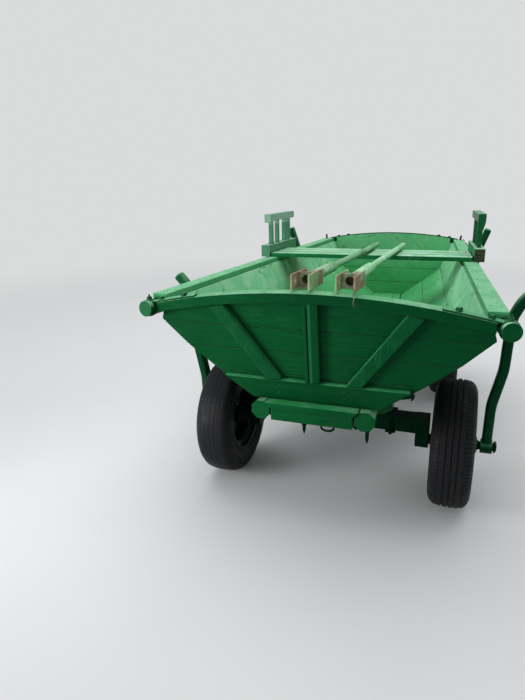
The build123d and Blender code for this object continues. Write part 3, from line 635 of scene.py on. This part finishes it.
class Piece:
    """A mesh that is put together from small forms."""

    def __init__(self):
        self.form = bmesh.new()

    def rings(self, rows, closed=False):
        """Skin over rings of points with as many points each, capped unless it closes on itself."""
        rows = [[self.form.verts.new(p) for p in row] for row in rows]
        count = len(rows[0])
        pairs = list(zip(rows, rows[1:] + rows[:1])) if closed else list(zip(rows, rows[1:]))
        for low, high in pairs:
            for i in range(count):
                after = (i + 1) % count
                self.form.faces.new((low[i], low[after], high[after], high[i]))
        if not closed:
            self.form.faces.new(rows[0][::-1])
            self.form.faces.new(rows[-1])

    def turned(self, base, direction, outline, sides=12, spin=0.0):
        """Form turned about an axis from an outline of height and radius."""
        turn = Vector(direction).normalized().to_track_quat("Z", "Y").to_matrix()
        rows = []
        for height, radius in outline:
            row = []
            for i in range(sides):
                angle = 2 * pi * i / sides + spin
                row.append(Vector(base) + turn @ Vector((radius * cos(angle), radius * sin(angle), height)))
            rows.append(row)
        self.rings(rows)

    def hexagon(self, base, direction, across, height, sides=6, spin=0.0):
        """Bolt head or nut with a chamfered top."""
        r = across / 2 / cos(pi / sides)
        outline = [(-0.001, r), (0.72 * height, r), (height, 0.84 * r)]
        self.turned(base, direction, outline, sides, spin)

    def washer(self, base, direction, radius, height=0.0025):
        """Flat round plate."""
        self.turned(base, direction, [(-0.001, radius), (0.7 * height, radius), (height, 0.94 * radius)], 20)

    def dome(self, base, direction, radius, height):
        """Round head."""
        shares = ((0.35, 0.96), (0.75, 0.7), (1.0, 0.25))
        outline = [(-0.0006, radius)] + [(a * height, b * radius) for a, b in shares]
        self.turned(base, direction, outline, 10)

    def wire(self, points, radius, sides=8, ends=1.0):
        """Round bar through points, tapered at its ends by a factor."""
        points = [Vector(p) for p in points]
        side = None
        rows = []
        for i, point in enumerate(points):
            line = points[min(i + 1, len(points) - 1)] - points[max(i - 1, 0)]
            line.normalize()
            if side is None:
                side = line.orthogonal().normalized()
            side = (side - line * side.dot(line)).normalized()
            other = line.cross(side)
            r = radius * (ends if i in (0, len(points) - 1) else 1.0)
            ring = []
            for k in range(sides):
                angle = 2 * pi * k / sides
                ring.append(point + side * (r * cos(angle)) + other * (r * sin(angle)))
            rows.append(ring)
        self.rings(rows)

    def strap(self, points, across, width, thick, chamfer=0.001):
        """Flat bar bent along points. across is the direction of its width."""
        points = [Vector(p) for p in points]
        across = Vector(across).normalized()
        rows = []
        for i, point in enumerate(points):
            line = points[min(i + 1, len(points) - 1)] - points[max(i - 1, 0)]
            up = across.cross(line).normalized()
            w, t, c = width / 2, thick / 2, chamfer
            section = [(-w, c - t), (c - w, -t), (w - c, -t), (w, c - t)]
            section += [(w, t - c), (w - c, t), (c - w, t), (-w, t - c)]
            rows.append([point + across * a + up * b for a, b in section])
        self.rings(rows)

    def done(self, name, material, body, slot, angle=35):
        """Makes the piece, which stays sharp where it bends by more than the angle."""
        mesh = bpy.data.meshes.new(name)
        bmesh.ops.recalc_face_normals(self.form, faces=self.form.faces)
        self.form.to_mesh(mesh)
        self.form.free()
        mesh.materials.append(material)
        mesh.polygons.foreach_set("use_smooth", [True] * len(mesh.polygons))
        mesh.set_sharp_from_angle(angle=radians(angle))
        piece = bpy.data.objects.new(name, mesh)
        bpy.context.scene.collection.objects.link(piece)
        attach(piece, body)
        return piece


# Tyre section from the middle of the tread to the bead and back inside: distance from the middle,
# radius, how deep a sipe cuts there, and how far a groove lies under the tread
TREAD = (
    (0.0000, 0.3035, 0, 0.0063), (0.0030, 0.3035, 0, 0.0063), (0.0038, 0.3098, 0, 0), (0.0070, 0.3099, 1, 0),
    (0.0180, 0.3098, 1, 0), (0.0222, 0.3095, 0, 0), (0.0230, 0.3032, 0, 0.0062), (0.0290, 0.3030, 0, 0.0060),
    (0.0298, 0.3090, 0, 0), (0.0340, 0.3087, 1, 0), (0.0430, 0.3078, 1, 0), (0.0505, 0.3066, 0, 0),
    (0.0512, 0.3030, 0, 0.0033), (0.0545, 0.3026, 0, 0.0032), (0.0552, 0.3056, 0, 0), (0.0600, 0.3043, 2, 0),
    (0.0660, 0.3020, 2, 0), (0.0740, 0.2972, 2, 0), (0.0810, 0.2905, 2, 0), (0.0850, 0.2850, 0, 0),
    (0.0885, 0.2780, 0, 0), (0.0915, 0.2690, 0, 0), (0.0930, 0.2685, 0, 0), (0.0938, 0.2640, 0, 0),
    (0.0930, 0.2600, 0, 0), (0.0948, 0.2480, 0, 0), (0.0940, 0.2360, 0, 0), (0.0922, 0.2340, 0, 0),
    (0.0900, 0.2220, 0, 0), (0.0850, 0.2100, 0, 0), (0.0790, 0.2000, 0, 0), (0.0735, 0.1930, 0, 0),
    (0.0730, 0.1785, 0, 0), (0.0640, 0.1783, 0, 0), (0.0640, 0.1900, 0, 0), (0.0760, 0.2200, 0, 0),
    (0.0800, 0.2460, 0, 0), (0.0740, 0.2680, 0, 0), (0.0500, 0.2860, 0, 0), (0.0000, 0.2905, 0, 0),
)
SIPES = 96
SIPE_STEPS = (0.0, 0.16, 0.8, 0.96)
SIPE_DEPTH = (0.0, 0.0022, 0.0045)
# How far each tyre's tread is worn down; the rear left one is nearly smooth
TREAD_WORN = {"rear_left": 0.85, "rear_right": 0.0, "front_left": 0.3, "front_right": 0.1}


def tyre(front_or_rear, side, body, x, y, phase):
    """Road tyre with three deep grooves and a shallow one near each shoulder. Sipes cut the
    shoulders at every step and the ribs at every other one."""
    piece = Piece()
    loop = list(TREAD) + [(-a, r, c, d) for a, r, c, d in reversed(TREAD[1:-1])]
    worn = TREAD_WORN[f"{front_or_rear}_{side}"]
    steps = [radians(s) for s in SIPE_STEPS] + [pi / SIPES]
    rows = []
    for i in range(SIPES):
        for k, share in enumerate(steps):
            angle = 2 * pi * i / SIPES + share + phase
            cut = k in (1, 2)
            ring = []
            for across, radius, depth, groove in loop:
                r = radius + groove * worn
                if cut and (depth == 2 or i % 2):
                    r -= SIPE_DEPTH[depth] * (1 - worn)
                ring.append((x + across, y + r * sin(angle), AXLE_HEIGHT + r * cos(angle)))
            rows.append(ring)
    piece.rings(rows, closed=True)
    made = piece.done(f"tread_{front_or_rear}_{side}", tyre_rubber, body, "tyre", 32)
    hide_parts(f"{front_or_rear}_tyre_{side}")


def wheel_trim(name, body, sign, out, y):
    """Wheel nuts, their washers and the valve on the outer side of a wheel."""
    nuts = Piece()
    axis = (sign, 0, 0)
    stud = [(0.012, 0.0055), (0.0185, 0.0055), (0.0195, 0.0045)]
    for i in range(5):
        angle = 2 * pi * i / 5 + 0.3
        height = AXLE_HEIGHT + NUT_CIRCLE * cos(angle)
        at = (sign * (out + DISC_OUT), y + NUT_CIRCLE * sin(angle), height)
        nuts.washer(at, axis, radius=0.0105)
        nuts.hexagon(at, axis, across=0.017, height=0.014, spin=angle)
        nuts.turned(at, axis, stud, sides=10)
    nuts.done(f"nuts_{name}", steel_bare, body, "bare_steel")
    valve = Piece()
    route = ((0.046, 0.1655), (0.066, 0.160), (0.084, 0.157))
    points = [(sign * (out + a), y, AXLE_HEIGHT + r) for a, r in route]
    valve.wire(points, radius=0.004, sides=10, ends=0.8)
    valve.done(f"valve_{name}", tyre_rubber, body, "tyre")


phase = 0.0
for place, y in (("rear", -WHEELBASE / 2), ("front", WHEELBASE / 2)):
    for side, sign in SIDES.items():
        body = f"{place}_wheel_{side}"
        out = WHEEL_OUT[place]
        tyre(place, side, body, sign * out, y, phase)
        wheel_trim(f"{place}_{side}", body, sign, out, y)
        phase += 0.31


def seams():
    """What fills the gaps between boards, and the split of the tail's middle batten, dark with dirt and
    painted shade except at the tail.
    """
    fill = Piece()
    deep, wide, chamfer = 0.010, 0.0028, 0.0002
    for sign in SIDES.values():
        for i in (1, 2):
            (x0, z0), (x1, z1) = PROFILE[i - 1], PROFILE[i + 1]
            line = Vector((x1 - x0, 0, z1 - z0)).normalized()
            across = Vector((-line.z, 0, line.x))
            middle = Vector((PROFILE[i][0], 0, PROFILE[i][1])) + across * (PLANK / 2)
            points = []
            for end in (-1, 1):
                at = middle.copy()
                at.y = end_y(at.z, end)
                at.x -= inset(at.y)
                points.append(Vector((sign * at.x, at.y, at.z)))
            fill.strap(points, (sign * across.x, 0, across.z), deep, wide, chamfer)
        foot = []
        for y in (-FLOOR_END, FLOOR_END):
            foot.append(Vector((sign * (FLOOR_EDGE - inset(y)), y, FLOOR_SEAM)))
        fill.strap(foot, UP, deep, thick=0.006, chamfer=chamfer)
    for end in (-1, 1):
        for z in END_SEAMS:
            half = half_width(z, end) - 0.004
            points = [on_end(x, z - 0.00125, end, PLANK / 2) for x in (-half, half)]
            fill.strap(points, outward(end), deep, wide, chamfer)
    for share in (-0.5, 0.0, 0.5):
        points = []
        for y in (-FLOOR_END, FLOOR_END):
            points.append((share * 2 * (FLOOR_BOARD - inset(y) / 2), y, FLOOR_SEAM))
        fill.strap(points, UP, deep, wide, chamfer)
    on_batten = PLANK + BATTEN - 0.0006
    split = [on_end(-0.016, z, -1, on_batten) for z in (BATTEN_FOOT, 0.86, 1.0, BATTEN_TOP)]
    fill.strap(split, (1, 0, 0), width=0.0055, thick=0.002, chamfer=chamfer)
    fill.done("seam_dirt_and_shade", seam_dirt_and_shade, "cart", "painted_wood")


def nails():
    """Painted nail heads in the boards, battens, rails and slats."""
    heads = Piece()
    batten_rise = 0.345
    rail_first, rail_step = -1.16, 0.285
    slat_first, slat_step = 0.010, 0.104
    bench_rear, bench_front = -0.02, 0.5

    def nail(at, direction, radius=0.0036):
        heads.dome(at, direction, radius, height=0.0011)

    # end, how far out the outer battens stand at the top and at the foot
    for end, spread, foot in ((-1, 0.410, 0.174), (1, 0.270, 0.100)):
        for z in (0.77, 0.81, 0.88, 0.92, 0.985, 1.03):
            shift = 0.012 if int(z * 1000) % 2 else -0.010
            lean = foot + (spread - foot) * (z - BATTEN_FOOT) / batten_rise
            for x in (-lean, 0.0, lean):
                nail(on_end(x + shift, z, end, PLANK + BATTEN), outward(end))
        for share in (-0.88, -0.45, -0.07, 0.4, 0.9):
            x = share * (half_width(0.68, end) - 0.03)
            for z in (0.668, 0.702):
                nail(on_end(x, z, end, PLANK + BATTEN), outward(end))
        for z in (0.765, 0.825, 0.872, 0.93, 0.975):
            x = half_width(min(z, 0.96), end) - 0.026
            for sign in SIDES.values():
                nail(on_end(sign * x, z, end, PLANK), outward(end))
    for sign in SIDES.values():
        for i in range(9):
            y = rail_first + rail_step * i
            if bench_rear < y < bench_front:
                continue
            outer = RAIL_REAR - 0.004 - inset(y)
            nail((sign * (outer - 0.018), y, RAIL_TOP), UP)
            nail((sign * (outer - 0.054), y + 0.014, RAIL_TOP), UP)
        for i in range(3):
            y = slat_first + i * slat_step
            for shift in (0.024, 0.068):
                x = RAIL_REAR - inset(y + shift) - 0.055
                nail((sign * x, y + shift, SEAT_TOP), UP, radius=0.005)
    heads.done("nail_heads", board_wood, "cart", "painted_steel")


def corner_straps():
    """Bolted flat bars over the rear beam's ends."""
    straps, bolts = Piece(), Piece()
    out = PLANK + 0.026
    on_beam = Vector((0, 0, 0.0048))
    on_strap = Vector((0, 0, 0.0075))
    on_washer = Vector((0, 0, 0.002))
    for sign in SIDES.values():
        points = []
        for x in (0.500, 0.545, 0.590, 0.635, 0.685, 0.722):
            points.append(on_end(sign * x, arch(x, *REAR_ARCH), -1, out) + on_beam)
        straps.strap(points, outward(-1), width=0.030, thick=0.006, chamfer=0.0012)
        for x in (0.556, 0.668):
            at = on_end(sign * x, arch(x, *REAR_ARCH), -1, out) + on_strap
            bolts.washer(at, UP, radius=0.0125, height=0.003)
            bolts.hexagon(at + on_washer, UP, across=0.020, height=0.010, sides=4, spin=0.4)
    straps.done("corner_straps", steel_green, "cart", "painted_steel")
    bolts.done("corner_bolts", steel_plain, "cart", "painted_steel")


def pole_bands():
    """Bands around the ends of the rail poles, each with a bolt on top."""
    bands, bolts = Piece(), Piece()
    for end in (-1, 1):
        for sign in SIDES.values():
            y = end * BAND_AT
            flare = POLE_FLARE * (BAND_AT - POLE_BEND) / (POLE_END - POLE_BEND)
            x = sign * (RAIL_REAR - inset(y) - POLE_INSET + flare)
            ring = []
            for i in range(25):
                angle = 2 * pi * i / 24
                ring.append((x + POLE_BAND * sin(angle), y, POLE_HEIGHT + POLE_BAND * cos(angle)))
            bands.strap(ring, (0, 1, 0), width=0.026, thick=0.0028, chamfer=0.0006)
            top = Vector((x, y, POLE_HEIGHT + 0.038))
            bolts.washer(top, UP, radius=0.011)
            bolts.hexagon(top, UP, across=0.017, height=0.011, sides=4, spin=0.3)
            bolts.wire([top, top + Vector((0, 0, 0.020))], radius=0.0045, ends=0.9)
    bands.done("pole_bands", steel_plain, "cart", "painted_steel")
    bolts.done("pole_bolts", steel_plain, "cart", "painted_steel")


def rib_bolts():
    """Round heads through the side ribs, one for each plank."""
    heads = Piece()
    for sign in SIDES.values():
        for y in RIB_PLACES:
            for (x0, z0), (x1, z1) in zip(PROFILE, PROFILE[1:]):
                across = Vector((z1 - z0, 0, x0 - x1)).normalized()
                z = (z0 + min(z1, RIB_TOP)) / 2
                x = x0 + (x1 - x0) * (z - z0) / (z1 - z0)
                at = Vector((x - inset(y), y, z)) + across * BATTEN
                at.x *= sign
                heads.dome(at, (sign * across.x, 0, across.z), radius=0.011, height=0.006)
    heads.done("rib_bolts", steel_green, "cart", "painted_steel")


def linch_pins(place, body, y):
    """Pins through the ends of an axle's stubs."""
    pins = Piece()
    drop = Vector((0.0, 0.0, 0.025))
    bend = Vector((0, 0.008, 0.002))
    for sign in SIDES.values():
        at = Vector((sign * (WHEEL_OUT[place] + LINCH_PIN_OUT), y, AXLE_HEIGHT))
        pins.wire([at - drop, at + drop, at + drop + bend], radius=0.0018)
    pins.done(f"linch_pins_{place}", steel_bare, body, "bare_steel")


def axle_clamps(place, body, y):
    """Plates and bolts that clamp an axle's beam, and the rear one's bolster on it."""
    clamps = Piece()
    near, far = 0.115, 0.285
    places = (far,) if place == "front" else (near, far)
    for sign in SIDES.values():
        for out in places:
            x = sign * out
            plate = [(x - 0.024, y, 0.345), (x + 0.024, y, 0.345)]
            clamps.strap(plate, (0, 1, 0), width=0.112, thick=0.006)
            top = 0.436 if out == far else 0.5
            for side in (-1, 1):
                foot = Vector((x, y + side * 0.0485, 0.342))
                rod = [foot - Vector((0, 0, 0.012)), (foot.x, foot.y, top)]
                clamps.wire(rod, radius=0.005, sides=10, ends=0.85)
                clamps.hexagon(foot, (0, 0, -1), across=0.016, height=0.009)
            if out == far:
                plate = [(x - 0.024, y, 0.4315), (x + 0.024, y, 0.4315)]
                clamps.strap(plate, (0, 1, 0), width=0.112, thick=0.005)
    clamps.done(f"axle_clamps_{place}", steel_dark, body, "painted_steel")


def rear_hardware():
    """Pins under the cross timber, the hook and plates at the ledge's end and the ring beneath."""
    pins = Piece()
    for x, y, top, foot in ((-0.033, -1.232, 0.547, 0.490), (0.236, -1.215, 0.545, 0.474)):
        outline = [(top, 0.0125), (top - 0.014, 0.0125), (top - 0.018, 0.0085)]
        outline += [(foot + 0.018, 0.0075), (foot, 0.002)]
        pins.turned((x, y, 0), UP, outline, sides=10)
        pins.washer((x, y, top - 0.004), (0, 0, -1), radius=0.015, height=0.004)
    ring = []
    for i in range(21):
        angle = 2 * pi * i / 20
        ring.append((0.070 + 0.028 * cos(angle), -1.232 + 0.008 * sin(angle), 0.533 + 0.013 * sin(angle)))
    pins.wire(ring, radius=0.005)
    under = outward(-1) * 0.014
    for x, z, drop in ((0.366, 0.700, 0.006), (0.384, 0.708, 0.011)):
        at = on_end(x, z, -1, PLANK) + under
        plate = [at, at + Vector((0.030, 0, 0.010))]
        pins.strap(plate, outward(-1), width=0.026, thick=0.012 + drop, chamfer=0.003)
    at = on_end(0.396, 0.716, -1, PLANK) + under
    bends = ((0, 0, 0), (0.010, 0, -0.004), (0.015, 0, -0.016), (0.009, 0, -0.026))
    pins.wire([at + Vector(bend) for bend in bends], radius=0.0055, ends=0.7)
    pins.done("rear_pins", steel_dark, "cart", "painted_steel")


def fork_trim():
    """Weld beads on the shafts' forks and collars, and the wire that hangs from the right fork."""
    beads = Piece()
    for start, stop in SHAFT_LINES:
        start, stop = Vector(start), Vector(stop)
        line = (stop - start).normalized()
        side = Vector((line.y, -line.x, 0)).normalized()
        up = side.cross(line)
        # Along the shaft, radius of the ring, radius of the bead
        for along, radius, thick in ((0.093, 0.0245, 0.003), (0.526, 0.0165, 0.0035)):
            middle = start + line * along
            ring = []
            for i in range(37):
                angle = 2 * pi * i / 36
                r = radius + 0.0008 * sin(9 * angle)
                ring.append(middle + side * (r * cos(angle)) + up * (r * sin(angle)))
            beads.wire(ring, thick, sides=6)
        for sign in (-1, 1):
            foot = start + line * 0.086 + side * (sign * 0.0315)
            rows = []
            for i in range(11):
                rows.append(foot + up * (-0.030 + 0.006 * i) + line * (0.001 * (i % 2)))
            beads.wire(rows, radius=0.003, sides=6, ends=0.6)
            eye = start + line * 0.045 + side * (sign * 0.0395)
            ring = []
            for i in range(25):
                angle = 2 * pi * i / 24
                ring.append(eye + line * (0.0115 * cos(angle)) + up * (0.0115 * sin(angle)))
            beads.wire(ring, radius=0.0012, sides=6)
    beads.done("fork_beads", tube, "cart", "worn_tube")
    wire = Piece()
    wire.wire([
        (0.174, -1.296, 1.148),
        (0.180, -1.306, 1.140),
        (0.182, -1.311, 1.118),
        (0.179, -1.310, 1.098),
        (0.181, -1.308, 1.082),
    ], radius=0.0018, sides=6)
    wire.done("fork_wire", steel_bare, "cart", "bare_steel")


def front_trim():
    """Bolts on the front beam's top and the pins at the front corners."""
    bolts = Piece()
    for sign in SIDES.values():
        for x in (0.36, 0.44):
            at = on_end(sign * x, arch(x, *FRONT_ARCH), 1, PLANK + 0.022)
            bolts.washer(at, UP, radius=0.012)
            bolts.hexagon(at, UP, across=0.018, height=0.009, sides=4, spin=0.5)
        pin = Vector((sign * 0.522, 1.190, RAIL_TOP))
        bolts.washer(pin, UP, radius=0.014)
        lean = Vector((sign * 0.006, 0, 0.034))
        route = [pin - Vector((0, 0, 0.002)), pin + lean * 0.5, pin + lean]
        bolts.wire(route, radius=0.0075, ends=0.8)
    bolts.done("front_bolts", steel_dark, "cart", "painted_steel")


seams()
nails()
corner_straps()
pole_bands()
rib_bolts()
for place, body, y in (("rear", "cart", -WHEELBASE / 2), ("front", "front_axle", WHEELBASE / 2)):
    linch_pins(place, body, y)
    axle_clamps(place, body, y)
rear_hardware()
fork_trim()
front_trim()


def set_floor():
    """Pale floor that runs into the plain background far out. It is darker for the light that it
    throws back on the cart."""
    g = Graph("floor_pale")
    spot = g.add("ShaderNodeVectorMath", operation="LENGTH")
    g.join(g.coords.outputs["Object"], spot.inputs[0])
    far = g.ramp(spot.outputs["Value"], 2.5, 9.0)
    pale = g.mix(g.noise(1.6, 3), FLOOR_PALE, FLOOR_PALER)
    path = g.add("ShaderNodeLightPath")
    seen = g.math("MAXIMUM", path.outputs["Is Camera Ray"], path.outputs["Is Glossy Ray"])
    seen = g.math("MAXIMUM", seen, path.outputs["Is Transmission Ray"])
    g.put(g.shader.inputs["Base Color"], g.mix(seen, FLOOR_BOUNCE, pale))
    g.shader.inputs["Roughness"].default_value = 0.8
    g.shader.inputs["Specular IOR Level"].default_value = 0.1
    glow = g.add("ShaderNodeEmission")
    g.put(glow.inputs["Color"], BACKDROP)
    mixer = g.add("ShaderNodeMixShader")
    g.join(far, mixer.inputs[0])
    g.join(g.shader.outputs[0], mixer.inputs[1])
    g.join(glow.outputs[0], mixer.inputs[2])
    g.join(mixer.outputs[0], g.output.inputs[0])
    mesh = bpy.data.meshes.new("floor")
    form = bmesh.new()
    bmesh.ops.create_circle(form, cap_ends=True, segments=96, radius=40)
    form.to_mesh(mesh)
    form.free()
    mesh.materials.append(g.material)
    floor = bpy.data.objects.new("floor", mesh)
    bpy.context.scene.collection.objects.link(floor)


def set_world():
    """Plain background for the camera, and an even light from all round."""
    world = bpy.data.worlds.new("studio")
    bpy.context.scene.world = world
    world.use_nodes = True
    tree = world.node_tree
    tree.nodes.clear()
    out = tree.nodes.new("ShaderNodeOutputWorld")
    path = tree.nodes.new("ShaderNodeLightPath")
    mixer = tree.nodes.new("ShaderNodeMixShader")
    tree.links.new(path.outputs["Is Camera Ray"], mixer.inputs[0])
    for socket, colour, level in ((1, SKY, SKY_LEVEL), (2, BACKDROP, 1.0)):
        shade = tree.nodes.new("ShaderNodeBackground")
        shade.inputs["Color"].default_value = (*colour, 1)
        shade.inputs["Strength"].default_value = level
        tree.links.new(shade.outputs[0], mixer.inputs[socket])
    tree.links.new(mixer.outputs[0], out.inputs[0])


def set_lamps():
    """Soft light overhead, and a low one from the left of the camera."""
    # name, place, aim, size, watts, spread in degrees
    lamps = (
        ("overhead", (-0.4, 0.6, 7.0), (0, 0, 0.5), 8.0, 350, 180),
        ("left_soft", (-2.9, -3.1, 1.25), (-0.7, -1.2, 1.0), 1.6, 17, 66),
    )
    for name, place, aim, size, watts, spread in lamps:
        lamp = bpy.data.lights.new(name, "AREA")
        lamp.size = size
        lamp.spread = radians(spread)
        lamp.energy = watts
        holder = bpy.data.objects.new(name, lamp)
        holder.location = place
        holder.visible_camera = False
        holder.rotation_euler = (Vector(aim) - Vector(place)).to_track_quat("-Z", "Y").to_euler()
        bpy.context.scene.collection.objects.link(holder)


def set_camera():
    """Camera at the photograph's place and angle."""
    data = bpy.data.cameras.new("photo_camera")
    data.sensor_fit = "VERTICAL"
    data.sensor_height = CAMERA_FRAME
    data.lens = CAMERA_LENS
    camera = bpy.data.objects.new("photo_camera", data)
    turn = Matrix.Rotation(radians(CAMERA_YAW), 4, "Z") @ Matrix.Rotation(radians(90 - CAMERA_PITCH), 4, "X")
    camera.matrix_world = Matrix.Translation(CAMERA_AT) @ turn @ Matrix.Rotation(radians(CAMERA_ROLL), 4, "Z")
    bpy.context.scene.collection.objects.link(camera)
    bpy.context.scene.camera = camera


set_floor()
set_world()
set_lamps()
set_camera()
bpy.context.scene.view_settings.view_transform = "Standard"

bpy.context.view_layer.update()
